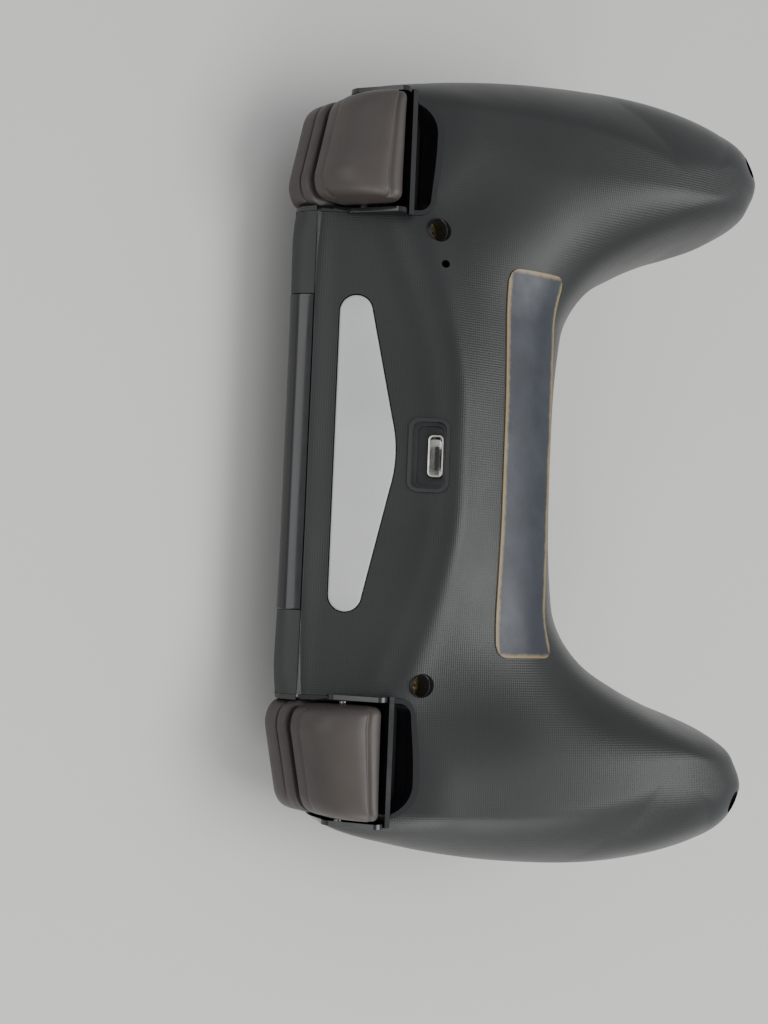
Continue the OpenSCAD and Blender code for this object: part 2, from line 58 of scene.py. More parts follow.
HALF_W, FRONT_Y, REAR_Y, TIP_Y, PANEL_Z = 80.5, -46.0, 13.0, 50.0, 17.0
FACE_Z, GRIP_Z, SLOPE, WALL, SEAM_GAP = 9.0, 57.0, math.radians(42), 2.0, 0.2
FRONT_RUN = [[0, FRONT_Y], [22, FRONT_Y], [42, -46.5], [57, -47.2], [69.2, -41.5], [75, -26],
             [79.4, -3], [HALF_W, 20], [76.2, 42.5], [66, TIP_Y], [57.2, 47.6]]
REAR_RUN = [[0, REAR_Y], [17, 13.6], [30, 16], [38.5, 19.5], [43.6, 26], [47.4, 32.5],
            [50, 38.5], [52.6, 43.2], [57.2, 47.6], [66, TIP_Y], [76.2, 42.5]]
CORE_RUN = [[0, -12], [16, -12], [31, -11], [43, -8], [52, -2],
            [57, 6], [60, 15], [62, 22], [63, 28], [63, 32.5]]
SEAM = ([PANEL_Z, PANEL_Z, 17.5, 18.5, 20, 22, 26.5, 32, 38, 41.5, 40.5],
        [20, 20, 20.5, 22, 25, 29, 33, 37, 40.5, 41.5, 38])
UNDER_R = ([3, 3, 3, 4, 8, 16, 22, 22, 18, 16], [20, 20, 19, 17, 16, 16, 16, 16, 16, 16])
FACE_R = ([5, 5, 5, 5, 7, 9, 12, 15, 15, 14], [7, 7, 8, 10, 13, 14, 15, 15, 14, 14])

STICK_X, STICK_Y, WELL_R, CAP_R, GIMBAL_Z = 25.0, 0.0, 13.0, 9.3, 19.5
CLUSTER_X, CLUSTER_Y, PITCH, BUTTON_R = 50.0, -20.5, 10.2, 5.2
HOME_Y, SPEAKER_Y, JACK_X = 2.6, -9.5, -11.0
TRIGGER_X, TRIGGER_W = 57.8, 21.8
SCREWS = ((43.6, -28.0, 32.4), (67.0, 40.0, 53.0))
LABEL = (38.0, 6.8, -7.4, 2.4)


def along(run, a):
    """Catmull-Rom value of a list of stations at position a."""
    run = np.asarray(run, float)
    i = np.minimum(np.floor(a).astype(int), len(CORE_RUN) - 2)
    q = a - i
    if run.ndim > 1:
        q = q[:, None]
    p0, p1, p2 = run[np.maximum(i - 1, 0)], run[i], run[i + 1]
    p3 = run[np.minimum(i + 2, len(run) - 1)]
    return 0.5 * (2 * p1 + (p2 - p0) * q + (2 * p0 - 5 * p1 + 4 * p2 - p3) * q * q
                  + (3 * p1 - p0 - 3 * p2 + p3) * q ** 3)


def smooth(lo, hi, v):
    q = np.clip((v - lo) / (hi - lo), 0, 1)
    return q * q * (3 - 2 * q)


def soft_min(a, b, k):
    h = np.maximum(k - np.abs(a - b), 0) / k
    return np.minimum(a, b) - h * h * k / 4


def under_z(x, y):
    """Height of the underside: sloped front panel, crest above it, middle and grips."""
    ax = np.abs(x)
    drop = 3.4 * smooth(8, 44, ax) * smooth(-4, -34, y) * (1 - smooth(46, 62, ax))
    body = 38 - np.where(y < -8, 0.006, 0.014) * (y + 8) ** 2
    grip = 31 + (GRIP_Z - 31) * np.sin(np.pi / 2 * np.clip((y + 40) / 76, 0, 1)) ** 1.5
    panel = PANEL_Z + 0.5 + math.tan(SLOPE) * (y - FRONT_Y)
    top = body + (grip - body) * smooth(28, 58, ax) - drop
    gap = (top - panel) / math.tan(SLOPE)
    fade = 1 - smooth(40, 50, ax)
    crest = 0.42 * np.exp(-((gap + 0.6) / 1.5) ** 2) - 0.34 * np.exp(-((gap - 2.4) / 1.0) ** 2)
    return soft_min(panel, top, 2.2) + crest * fade


def face_z(x, y):
    return FACE_Z + smooth(30, 50, np.abs(x)) * 0.0316 * np.maximum(y, 0) ** 1.72


def skin(under, inset, shares, quarter=132):
    """Skin points: one row per share of the way in, one column per place round the seam, closed."""
    a = np.linspace(0, len(CORE_RUN) - 1, quarter + 1)
    quarters = []
    for front in (0, 1):
        core, edge0 = along(CORE_RUN, a), along((FRONT_RUN, REAR_RUN)[front], a)
        reach0 = np.linalg.norm(core - edge0, axis=1)
        edge = edge0 + (core - edge0) * (inset / reach0)[:, None]
        seam = along(SEAM[front], a)
        radius = np.maximum(along((UNDER_R if under else FACE_R)[front], a) - inset, 1)
        radius = np.minimum(radius, reach0 - inset)
        t = np.asarray(shares, float)[:, None]
        p = edge[None] + (core - edge)[None] * t[..., None]
        q = np.sqrt(1 - (1 - np.clip(t * (reach0 - inset) / radius, 0, 1)) ** 2)
        x, y = p[..., 0], p[..., 1]
        flat = under_z(x, y) - inset if under else face_z(x, y) + inset
        base = seam + (SEAM_GAP / 2 if under else -SEAM_GAP / 2)
        z = base + (flat - base) * q
        if not under and not front:
            y = y - 3 * np.sin(np.pi * q) * (1 - smooth(40, 56, x))
        quarters.append(np.stack([x, y, z], -1))
    ahead, behind = quarters
    flip = np.array([-1, 1, 1])
    ring = [ahead, behind[:, -2::-1], behind[:, 1:] * flip, ahead[:, -2::-1] * flip]
    return np.concatenate(ring, axis=1)


def shares(count):
    return (np.arange(count + 1) / count) ** 1.7


# ---------------------------------------------------------------- making pieces

def take(obj):
    """Selects one object alone and makes it active."""
    bpy.ops.object.select_all(action="DESELECT")
    obj.select_set(True)
    bpy.context.view_layer.objects.active = obj
    return obj


def tidy_mesh(obj, weld=2e-6):
    """Merges doubles and turns all faces outwards."""
    take(obj)
    bpy.ops.object.mode_set(mode="EDIT")
    bpy.ops.mesh.select_all(action="SELECT")
    bpy.ops.mesh.remove_doubles(threshold=weld)
    bpy.ops.mesh.normals_make_consistent(inside=False)
    bpy.ops.object.mode_set(mode="OBJECT")
    return obj


def shape(obj, points):
    """Sets an object's vertices, given in millimetres."""
    obj.data.vertices.foreach_set("co", (np.asarray(points, float) * MM).ravel())
    obj.data.update()


def sheet(name, points):
    """Grid wrapped onto a (rows, columns, 3) array of points."""
    rows, cols = points.shape[:2]
    bpy.ops.object.select_all(action="DESELECT")
    bpy.ops.mesh.primitive_grid_add(x_subdivisions=cols - 1, y_subdivisions=rows - 1, size=2)
    obj = bpy.context.active_object
    obj.name = obj.data.name = name
    count = len(obj.data.vertices)
    if count != rows * cols:
        raise RuntimeError(f"{name}: grid has {count} points, not {rows * cols}")
    flat = np.zeros(count * 3)
    obj.data.vertices.foreach_get("co", flat)
    flat = flat.reshape(-1, 3)
    col = np.rint((flat[:, 0] + 1) / 2 * (cols - 1)).astype(int)
    row = np.rint((flat[:, 1] + 1) / 2 * (rows - 1)).astype(int)
    shape(obj, points[row, col])
    return tidy_mesh(obj)


def turned(name, profile, segments=96, place=None):
    """Profile of (radius, height) points turned round the Z axis."""
    profile = np.asarray(profile, float)
    angle = np.linspace(0, 2 * np.pi, segments + 1)
    points = np.stack([profile[:, None, 0] * np.cos(angle), profile[:, None, 0] * np.sin(angle),
                       np.repeat(profile[:, 1:2], segments + 1, axis=1)], -1)
    return sheet(name, moved(points, place))


def moved(points, place):
    if place is None:
        return points
    m = np.array(place)
    return points @ m[:3, :3].T + m[:3, 3]


def prism(name, outline, low, high, place=None):
    """Flat outline of (x, y) points raised from one height to another."""
    outline = np.asarray(outline, float)
    bpy.ops.object.select_all(action="DESELECT")
    bpy.ops.mesh.primitive_circle_add(vertices=len(outline), fill_type="NGON")
    obj = bpy.context.active_object
    obj.name = obj.data.name = name
    shape(obj, np.column_stack([outline, np.full(len(outline), low)]))
    bpy.ops.object.mode_set(mode="EDIT")
    bpy.ops.mesh.select_all(action="SELECT")
    bpy.ops.mesh.extrude_region_move(TRANSFORM_OT_translate={"value": (0, 0, (high - low) * MM)})
    bpy.ops.object.mode_set(mode="OBJECT")
    if place is not None:
        m = Matrix(place)
        m.translation *= MM
        obj.data.transform(m)
    return tidy_mesh(obj)


def carve(obj, cutter, how="DIFFERENCE", keep=False):
    """Boolean of one closed piece with another; the cutter is used up unless it is kept."""
    cut = obj.modifiers.new("carve", "BOOLEAN")
    cut.operation, cut.solver, cut.object = how, "MANIFOLD", cutter
    take(obj)
    before = len(obj.data.vertices)
    bpy.ops.object.modifier_apply(modifier=cut.name)
    if len(obj.data.vertices) == 0:
        raise RuntimeError(f"{obj.name}: nothing left of {before} points after {cutter.name}")
    if not keep:
        bpy.data.objects.remove(cutter, do_unlink=True)
    return obj


def soften(obj, width, segments=3, angle=40):
    """Rounds every edge sharper than the angle."""
    edge = obj.modifiers.new("edges", "BEVEL")
    edge.width, edge.segments, edge.limit_method = width * MM, segments, "ANGLE"
    edge.angle_limit = math.radians(angle)
    edge.use_clamp_overlap = True
    take(obj)
    bpy.ops.object.modifier_apply(modifier=edge.name)
    return obj


def finish(obj, body, slot, *nodes, angle=32, materials=()):
    """Smooth shading, materials, body, slot and the frame nodes that the piece stands for."""
    take(obj)
    bpy.ops.object.shade_smooth_by_angle(angle=math.radians(angle))
    obj.data.materials.clear()
    for m in materials or (finishes()[slot],):
        obj.data.materials.append(m)
    if not materials:
        obj.data.polygons.foreach_set("material_index", [0] * len(obj.data.polygons))
    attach(obj, body)
    if nodes:
        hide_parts(*nodes)
    obj.select_set(False)
    return obj


def arc(centre, radius, start, stop, count=10):
    a = np.radians(np.linspace(start, stop, count))
    return np.column_stack([centre[0] + radius * np.cos(a), centre[1] + radius * np.sin(a)])


def rounded_box(w, h, r, count=9):
    """Outline of a rectangle with rounded corners, centred on the origin."""
    x, y = w / 2 - r, h / 2 - r
    return np.vstack([arc((x, y), r, 0, 90, count), arc((-x, y), r, 90, 180, count),
                      arc((-x, -y), r, 180, 270, count), arc((x, -y), r, 270, 360, count)])


def curve_through(points, per=6, closed=False):
    """Smooth run of points through the given ones."""
    p = np.asarray(points, float)
    n = len(p)
    out = []
    for i in range(n if closed else n - 1):
        ids = [(i + k) % n if closed else min(max(i + k, 0), n - 1) for k in (-1, 0, 1, 2)]
        p0, p1, p2, p3 = p[ids]
        for q in np.arange(per) / per:
            out.append(0.5 * (2 * p1 + (p2 - p0) * q + (2 * p0 - 5 * p1 + 4 * p2 - p3) * q * q
                              + (3 * p1 - p0 - 3 * p2 + p3) * q ** 3))
    if not closed:
        out.append(p[-1])
    return np.array(out)


def on_panel(rise=0.0, x=0.0, out=0.0):
    """Place on the front panel: local X across, local Y up the slope, local Z out of it."""
    turn = Matrix.Rotation(SLOPE, 4, "X")
    at = Vector((0, FRONT_Y, PANEL_Z + 0.5)) + turn.to_3x3() @ Vector((x, rise, out))
    return Matrix.Translation(at) @ turn


def at(x, y, z):
    return Matrix.Translation((x, y, z))


def shell_solid(name, under, outer, inner, rows=44, quarter=132):
    """Closed shell between two insets of one skin."""
    out = skin(under, outer, shares(rows), quarter)[::-1]
    inside = skin(under, inner, shares(14), quarter)
    return sheet(name, np.concatenate([out, inside]))


def body_solid(name, grow):
    """The whole closed body, grown outwards."""
    under, face = skin(True, -grow, shares(30), 84), skin(False, -grow, shares(20), 84)
    return sheet(name, np.concatenate([under[::-1], face]))


# ---------------------------------------------------------------- finishes

def node(tree, kind, **inputs):
    made = tree.nodes.new(kind)
    for key, value in inputs.items():
        if key in ("operation", "data_type", "blend_type", "feature", "distance", "noise_dimensions",
                   "interpolation"):
            setattr(made, key, value)
            continue
        numbered = key[0] == "i" and key[1:].isdigit()
        socket = made.inputs[int(key[1:]) if numbered else key.replace("_", " ")]
        if isinstance(value, bpy.types.NodeSocket):
            tree.links.new(value, socket)
        else:
            socket.default_value = value
    return made


def calc(tree, operation, a, b=0.0, c=0.0):
    return node(tree, "ShaderNodeMath", operation=operation, i0=a, i1=b, i2=c).outputs[0]


def ramp(tree, value, *stops):
    made = node(tree, "ShaderNodeValToRGB", Fac=value)
    band = made.color_ramp
    while len(band.elements) < len(stops):
        band.elements.new(0.5)
    for element, (where, colour) in zip(band.elements, stops):
        element.position = where
        element.color = colour if len(colour) == 4 else (*colour, 1)
    return made.outputs["Color"]


class Finish:
    """One procedural material: two tones mottled by noise, uneven roughness and a fine surface."""

    def __init__(self, name, dark, light, rough=(0.35, 0.5), mottle=40.0, grain=900.0, grain_mm=0.01, **fixed):
        self.material = bpy.data.materials.new(name)
        self.material.use_nodes = True
        self.tree = self.material.node_tree
        self.shader = self.tree.nodes["Principled BSDF"]
        for key, value in fixed.items():
            self.shader.inputs[key.replace("_", " ")].default_value = value
        self.place = node(self.tree, "ShaderNodeTexCoord").outputs["Object"]
        split = node(self.tree, "ShaderNodeSeparateXYZ", Vector=self.place)
        self.x, self.y, self.z = split.outputs
        cloud = self.noise(mottle, 5, 0.6)
        self.colour = ramp(self.tree, cloud, (0.32, dark), (0.7, light))
        self.rough = self.span(self.noise(mottle * 2.3, 4, 0.55), rough[0], rough[1])
        self.height = calc(self.tree, "MULTIPLY", self.noise(grain, 2, 0.5), grain_mm * MM)
        self.dark, self.light = dark, light

    def noise(self, scale, detail=3, rough=0.5):
        return node(self.tree, "ShaderNodeTexNoise", Vector=self.place, Scale=float(scale),
                    Detail=float(detail),
                    Roughness=rough).outputs["Fac"]

    def span(self, value, low, high):
        return node(self.tree, "ShaderNodeMapRange", Value=value, From_Min=0.3, From_Max=0.7, To_Min=low,
                    To_Max=high).outputs["Result"]

    def mix(self, factor, colour):
        made = node(self.tree, "ShaderNodeMix", data_type="RGBA", i0=factor, i6=self.colour)
        if isinstance(colour, bpy.types.NodeSocket):
            self.tree.links.new(colour, made.inputs[7])
        else:
            made.inputs[7].default_value = (*colour, 1)
        self.colour = made.outputs[2]

    def add_height(self, value):
        self.height = calc(self.tree, "ADD", self.height, value)

    def done(self, strength=1.0):
        bump = node(self.tree, "ShaderNodeBump", Height=self.height, Strength=strength, Distance=1.0)
        link = self.tree.links.new
        link(self.colour, self.shader.inputs["Base Color"])
        link(self.rough, self.shader.inputs["Roughness"])
        link(bump.outputs["Normal"], self.shader.inputs["Normal"])
        return self.material


_finishes = {}


def finishes():
    """All finishes by material slot, made once."""
    if _finishes:
        return _finishes
    look = bpy.context.scene.controller_look
    pitch = 2 * math.pi / look.texture_pitch

    f = Finish("shell_plastic", (0.0075, 0.0088, 0.0083), tuple(look.shell_colour), (0.33, 0.42), 26, 2600,
               0.004,
               Specular_IOR_Level=0.5)
    across = calc(f.tree, "SINE", calc(f.tree, "MULTIPLY", f.x, pitch))
    up = calc(f.tree, "MULTIPLY_ADD", f.z, 0.5, f.y)
    lengthwise = calc(f.tree, "SINE", calc(f.tree, "MULTIPLY", up, pitch))
    both = calc(f.tree, "ADD", calc(f.tree, "ABSOLUTE", across), calc(f.tree, "ABSOLUTE", lengthwise))
    dots = calc(f.tree, "MULTIPLY", both, 0.5)
    f.add_height(calc(f.tree, "MULTIPLY", dots, 0.028 * MM))
    # The raised dots are also painted a lighter grey-green: a painted highlight on the fine texture, whose bump
    # above is real.
    f.mix(calc(f.tree, "MULTIPLY", dots, 0.35), (0.026, 0.030, 0.028))
    _finishes["shell_plastic"] = f.done()

    f = Finish("face_plastic", (0.016, 0.018, 0.0175), (0.026, 0.029, 0.028), (0.42, 0.52), 30, 3600, 0.012)
    _finishes["face_plastic"] = f.done()

    f = Finish("gloss_black", (0.004, 0.004, 0.005), (0.009, 0.009, 0.010), (0.05, 0.13), 60, 500, 0.001,
               Coat_Weight=0.4, Coat_Roughness=0.05)
    smear = f.span(f.noise(190, 6, 0.7), 0.0, 0.10)
    f.rough = calc(f.tree, "ADD", f.rough, smear)
    _finishes["gloss_black"] = f.done()

    # The bumpers and triggers are black plastic; the grey-brown tones of this finish are painted warm
    # reflection.
    f = Finish("trigger_plastic", (0.034, 0.029, 0.027), tuple(look.trigger_colour), (0.40, 0.52), 55, 3200,
               0.010,
               Specular_IOR_Level=0.55)
    # Painted warm reflection: patchy noise, stronger the higher the surface stands, mixed towards a light
    # brown.
    worn = calc(f.tree, "MULTIPLY", f.span(f.noise(120, 5, 0.6), 0.0, 1.0),
                node(f.tree, "ShaderNodeMapRange", Value=f.z, From_Min=0.024, From_Max=0.031, To_Min=0.05,
                     To_Max=0.75).outputs["Result"])
    f.mix(worn, (0.066, 0.050, 0.042))
    _finishes["trigger_plastic"] = f.done()

    f = Finish("light_lens", (0.50, 0.51, 0.50), tuple(look.lens_colour), (0.28, 0.40), 24, 1800, 0.006,
               Subsurface_Weight=0.35, Subsurface_Scale=0.002, Coat_Weight=0.15)
    edge = calc(f.tree, "SUBTRACT", calc(f.tree, "ABSOLUTE", f.x), 0.0265)
    f.mix(calc(f.tree, "MULTIPLY", node(f.tree, "ShaderNodeMapRange", Value=edge, From_Min=0.0, From_Max=0.004,
          To_Min=0.0, To_Max=0.35).outputs["Result"], 1.0), (0.40, 0.41, 0.40))
    _finishes["light_lens"] = f.done()

    f = Finish("clear_guide", (0.60, 0.62, 0.62), (0.74, 0.75, 0.74), (0.12, 0.2), 30, 500, 0.002,
               Transmission_Weight=0.5, IOR=1.49)
    _finishes["clear_guide"] = f.done()

    f = Finish("steel", (0.50, 0.49, 0.46), (0.68, 0.66, 0.62), (0.16, 0.34), 300, 1500, 0.004, Metallic=1.0)
    _finishes["steel"] = f.done()

    f = Finish("dark_plastic", (0.012, 0.012, 0.013), (0.022, 0.022, 0.023), (0.38, 0.5), 50, 2600, 0.01)
    _finishes["dark_plastic"] = f.done()

    f = Finish("white_plastic", (0.56, 0.55, 0.51), (0.70, 0.69, 0.65), (0.35, 0.5), 60, 2200, 0.008)
    _finishes["white_plastic"] = f.done()

    f = Finish("button_plastic", (0.012, 0.012, 0.014), (0.022, 0.022, 0.025), (0.12, 0.22), 60, 900, 0.002,
               Coat_Weight=0.5, Coat_Roughness=0.08)
    _finishes["button_plastic"] = f.done()

    f = Finish("grey_rubber", (0.17, 0.175, 0.18), (0.26, 0.265, 0.27), (0.55, 0.7), 80, 2600, 0.015)
    _finishes["grey_rubber"] = f.done()

    f = Finish("cap_rubber", (0.012, 0.012, 0.013), (0.026, 0.026, 0.027), (0.5, 0.68), 70, 3400, 0.02,
               Sheen_Weight=0.2, Sheen_Roughness=0.5)
    _finishes["cap_rubber"] = f.done()

    f = Finish("module_plastic", (0.045, 0.06, 0.052), (0.075, 0.095, 0.083), (0.35, 0.5), 90, 2200, 0.01)
    _finishes["module_plastic"] = f.done()

    f = Finish("circuit_board", (0.006, 0.05, 0.022), (0.012, 0.09, 0.04), (0.25, 0.4), 120, 1800, 0.01,
               Coat_Weight=0.3)
    lines = calc(f.tree, "GREATER_THAN", calc(f.tree, "SINE", calc(f.tree, "MULTIPLY", calc(f.tree, "ADD",
                 f.x, calc(f.tree, "MULTIPLY", f.noise(90, 0), 0.02)), 5200.0)), 0.82)
    f.mix(calc(f.tree, "MULTIPLY", lines, 0.6), (0.03, 0.16, 0.08))
    _finishes["circuit_board"] = f.done()

    f = Finish("battery_wrap", (0.035, 0.12, 0.27), (0.06, 0.17, 0.36), (0.22, 0.34), 40, 400, 0.02,
               Coat_Weight=0.3)
    _finishes["battery_wrap"] = f.done()

    f = Finish("screw_brass", (0.36, 0.27, 0.12), (0.62, 0.50, 0.26), (0.2, 0.42), 900, 2600, 0.01,
               Metallic=1.0)
    _finishes["screw_brass"] = f.done()

    f = Finish("label_film", (0.016, 0.020, 0.030), tuple(look.label_colour), (0.30, 0.44), 120, 1500, 0.006,
               Specular_IOR_Level=0.5)
    in_x = calc(f.tree, "SUBTRACT", LABEL[0] * MM, calc(f.tree, "ABSOLUTE", f.x))
    from_middle = calc(f.tree, "ABSOLUTE", calc(f.tree, "SUBTRACT", f.y, LABEL[2] * MM))
    in_y = calc(f.tree, "SUBTRACT", LABEL[1] * MM, from_middle)
    inside = calc(f.tree, "MINIMUM", in_x, in_y)
    ragged = calc(f.tree, "MULTIPLY_ADD", f.noise(420, 4, 0.7), -0.0011, inside)
    rim = node(f.tree, "ShaderNodeMapRange", Value=ragged, From_Min=-0.0002, From_Max=0.0004, To_Min=1.0,
               To_Max=0.0).outputs["Result"]
    f.mix(calc(f.tree, "MULTIPLY", rim, 0.75), (0.30, 0.22, 0.10))
    _finishes["label_film"] = f.done()
    return _finishes


# ---------------------------------------------------------------- outlines and cutters

def light_outline(grow=0.0):
    """Light bar outline in panel coordinates, from the middle of its lower edge."""
    end = arc((27.0, 3.2), 3.2 + grow, -90, 84, 22)
    crown = arc((0, -14.2), 26 + grow, 75, 105, 22)
    return np.vstack([end, crown, end[::-1] * (-1, 1)])


def shoulder_outline(grow=0.0, depth=0.0):
    """Plan of the space round a shoulder group on the right side; the outer rear corner is rounder."""
    left, right, rear = 46.0 - grow, 69.9 + grow, -28.7 + grow + depth
    near, far = 3.2 + grow, 8.0 + grow
    return np.vstack([[(left, -58), (right, -58)], arc((right - far, rear - far), far, 0, 90, 14),
                      arc((left + near, rear - near), near, 90, 180, 10)])


def mirrored(outline, s):
    return outline if s > 0 else outline[::-1] * (-1, 1)


def touchpad_outline(grow=0.0):
    half = 30.0
    rear = arc((half - 3, -19.2), 3 + grow, 0, 90, 10)
    return np.vstack([[(-half - grow, -50), (half + grow, -50)], rear, rear[::-1] * (-1, 1)])


def dpad_arm_outline(grow=0.0):
    """One arm along +X from the middle of the cross: square end, pointed inner end."""
    r = 1 + grow
    return np.vstack([arc((12.6, 3.4), r, 0, 90, 8), arc((7.2, 3.4), r, 90, 133, 6),
                      arc((4.2, 0), r, 133, 227, 8), arc((7.2, -3.4), r, 227, 270, 6),
                      arc((12.6, -3.4), r, 270, 360, 8)])


def slot_outline(r, half):
    return np.vstack([arc((0, half), r, 0, 180, 14), arc((0, -half), r, 180, 360, 14)])


def spin(angle, x=0.0, y=0.0):
    return Matrix.Translation((x, y, 0)) @ Matrix.Rotation(math.radians(angle), 4, "Z")


def rear_port_place(x, z, y=REAR_Y):
    """Place of a rear opening: local Z runs into the body."""
    return Matrix.Translation((x, y, z)) @ Matrix.Rotation(math.radians(90), 4, "X")


def cut_rear_ports(obj):
    carve(obj, prism("jack_cut", arc((0, 0), 3.2, 0, 350, 36), -6, 7, rear_port_place(JACK_X, 17)))
    carve(obj, prism("port_cut", rounded_box(15, 5.4, 1), -6, 7, rear_port_place(0, 17)))


def cut_shoulders(obj):
    for s in (-1, 1):
        carve(obj, prism("shoulder_cut", mirrored(shoulder_outline(0.05), s), 10.4, 40))


# ---------------------------------------------------------------- settings

class ControllerLook(bpy.types.PropertyGroup):
    """Sizes and colours of the controller's finish."""
    shell_colour: bpy.props.FloatVectorProperty(
        name="Shell", description="Lighter tone of the textured shell", subtype="COLOR", size=3, min=0, max=1,
        default=(0.0155, 0.0180, 0.0170))
    # Lighter tone of the trigger finish; its grey-brown is painted warm reflection on black plastic.
    trigger_colour: bpy.props.FloatVectorProperty(
        name="Triggers", description="Lighter tone of the bumpers and triggers", subtype="COLOR", size=3, min=0,
        max=1, default=(0.062, 0.051, 0.046))
    lens_colour: bpy.props.FloatVectorProperty(
        name="Light bar", description="Lighter tone of the milky lens", subtype="COLOR", size=3, min=0, max=1,
        default=(0.60, 0.61, 0.59))
    label_colour: bpy.props.FloatVectorProperty(
        name="Label", description="Lighter tone of the rating label", subtype="COLOR", size=3, min=0, max=1,
        default=(0.034, 0.040, 0.052))
    texture_pitch: bpy.props.FloatProperty(
        name="Texture pitch", description="Distance between the shell's fine dots", default=0.00096, min=0.0004,
        max=0.003, precision=5, unit="LENGTH")
    floor_colour: bpy.props.FloatVectorProperty(
        name="Floor", description="Colour of the table top", subtype="COLOR", size=3, min=0, max=1,
        default=(0.66, 0.65, 0.63))


class ControllerCamera(bpy.types.PropertyGroup):
    """Viewpoint and light."""
    place: bpy.props.FloatVectorProperty(
        name="Place", description="Where the camera stands", subtype="TRANSLATION", size=3,
        default=(0.0243, -0.1998, 0.2170))
    turn: bpy.props.FloatVectorProperty(
        name="Turn", description="How the camera is turned", subtype="EULER", size=3,
        default=(0.0172, -0.7162, 1.6246))
    lens: bpy.props.FloatProperty(
        name="Lens", description="Focal length in millimetres", default=46.8, min=20, max=120)
    power: bpy.props.FloatProperty(
        name="Light", description="Strength of the large soft light", default=3.2, min=0, max=100)


# ---------------------------------------------------------------- pieces

class CONTROLLER_OT_lower_shell(bpy.types.Operator):
    """Textured underside with both grips, the front panel and its openings"""
    bl_idname = "controller.lower_shell"
    bl_label = "Lower shell"

    def execute(self, context):
        shell = shell_solid("lower_shell_skin", True, 0, WALL)
        carve(shell, prism("light_cut", light_outline(0.15), -5, 6, on_panel(4.6)))
        carve(shell, prism("usb_cut", rounded_box(14.2, 8, 2), -5, 7, on_panel(22.6)))
        cut_shoulders(shell)
        for s in (-1, 1):
            for x, y, z in SCREWS:
                well = [(0, z - 6), (2.3, z - 6), (2.3, z + 8), (0, z + 8)]
                carve(shell, turned("well_cut", well, 48, at(s * x, y, 0)))
        carve(shell, turned("pinhole_cut", [(0, -5), (0.8, -5), (0.8, 5), (0, 5)], 24, on_panel(24.5, -37)))
        cut_rear_ports(shell)
        finish(shell, "root", "shell_plastic", "lower_shell")
        return {"FINISHED"}


class CONTROLLER_OT_screw_wells(bpy.types.Operator):
    """Dark sleeves that line the screw wells"""
    bl_idname = "controller.screw_wells"
    bl_label = "Screw wells"

    def execute(self, context):
        count = 0
        for s in (-1, 1):
            for x, y, z in SCREWS:
                count += 1
                top = float(under_z(np.array(x), np.array(y))) if y < 0 else z - 0.6
                sleeve = turned(f"screw_sleeve_{count}", [
                    (1.5, z - 5.6), (2.28, z - 5.6), (2.28, top - 0.2), (2.2, top + 0.02), (2.1, top - 0.1),
                    (2.05, z - 3.7),
                    (1.5, z - 4.1), (1.5, z - 5.6)], 64, at(s * x, y, 0))
                finish(sleeve, "root", "dark_plastic")
        return {"FINISHED"}


class CONTROLLER_OT_light_bar(bpy.types.Operator):
    """Milky light bar lens set in the front panel"""
    bl_idname = "controller.light_bar"
    bl_label = "Light bar"

    def execute(self, context):
        lens = prism("light_bar_lens", light_outline(0), -2.4, 0.02, on_panel(4.6))
        soften(lens, 0.45, 4)
        finish(lens, "root", "light_lens", "light_bar")
        return {"FINISHED"}


class CONTROLLER_OT_charging_port(bpy.types.Operator):
    """Stepped recess and metal mouth of the charging port"""
    bl_idname = "controller.charging_port"
    bl_label = "Charging port"

    def execute(self, context):
        recess = prism("usb_recess", rounded_box(14.1, 7.9, 1.95), -4.2, 0.35, on_panel(22.6))
        carve(recess, prism("usb_mouth", rounded_box(12.7, 6.5, 1.5), -1.3, 6, on_panel(22.6)))
        carve(recess, prism("usb_step", rounded_box(11.4, 5.0, 1.1), -2.3, 2, on_panel(22.9)))
        carve(recess, prism("usb_throat", rounded_box(8.1, 3.1, 0.9), -9, 2, on_panel(24.0)))
        soften(recess, 0.18, 3)
        finish(recess, "root", "dark_plastic")
        rim = prism("usb_mouth_rim", rounded_box(8.0, 3.0, 0.95), -6.4, -1.35, on_panel(24.0))
        carve(rim, prism("usb_inner", rounded_box(7.3, 2.3, 0.65), -5.9, 3, on_panel(24.0)))
        soften(rim, 0.09, 2)
        finish(rim, "root", "steel", "usb_port")
        return {"FINISHED"}


class CONTROLLER_OT_label(bpy.types.Operator):
    """Thin worn film that follows the underside"""
    bl_idname = "controller.label"
    bl_label = "Label"

    def execute(self, context):
        half_x, half_y, mid_y, corner = LABEL
        u, v = np.linspace(-1, 1, 121), np.linspace(-1, 1, 31)
        grid_u, grid_v = np.meshgrid(u, v)
        x, y = grid_u * half_x, grid_v * half_y
        over_y = np.maximum(np.abs(y) - (half_y - corner), 0)
        x = grid_u * (half_x - corner + np.sqrt(np.maximum(corner ** 2 - over_y ** 2, 0)))
        y = y + mid_y
        film = sheet("label_film", np.stack([x, y, under_z(x, y) + 0.12], -1))
        wall = film.modifiers.new("thickness", "SOLIDIFY")
        wall.thickness, wall.offset = 0.3 * MM, 0
        take(film)
        bpy.ops.object.modifier_apply(modifier=wall.name)
        finish(film, "root", "label_film", "label")
        return {"FINISHED"}


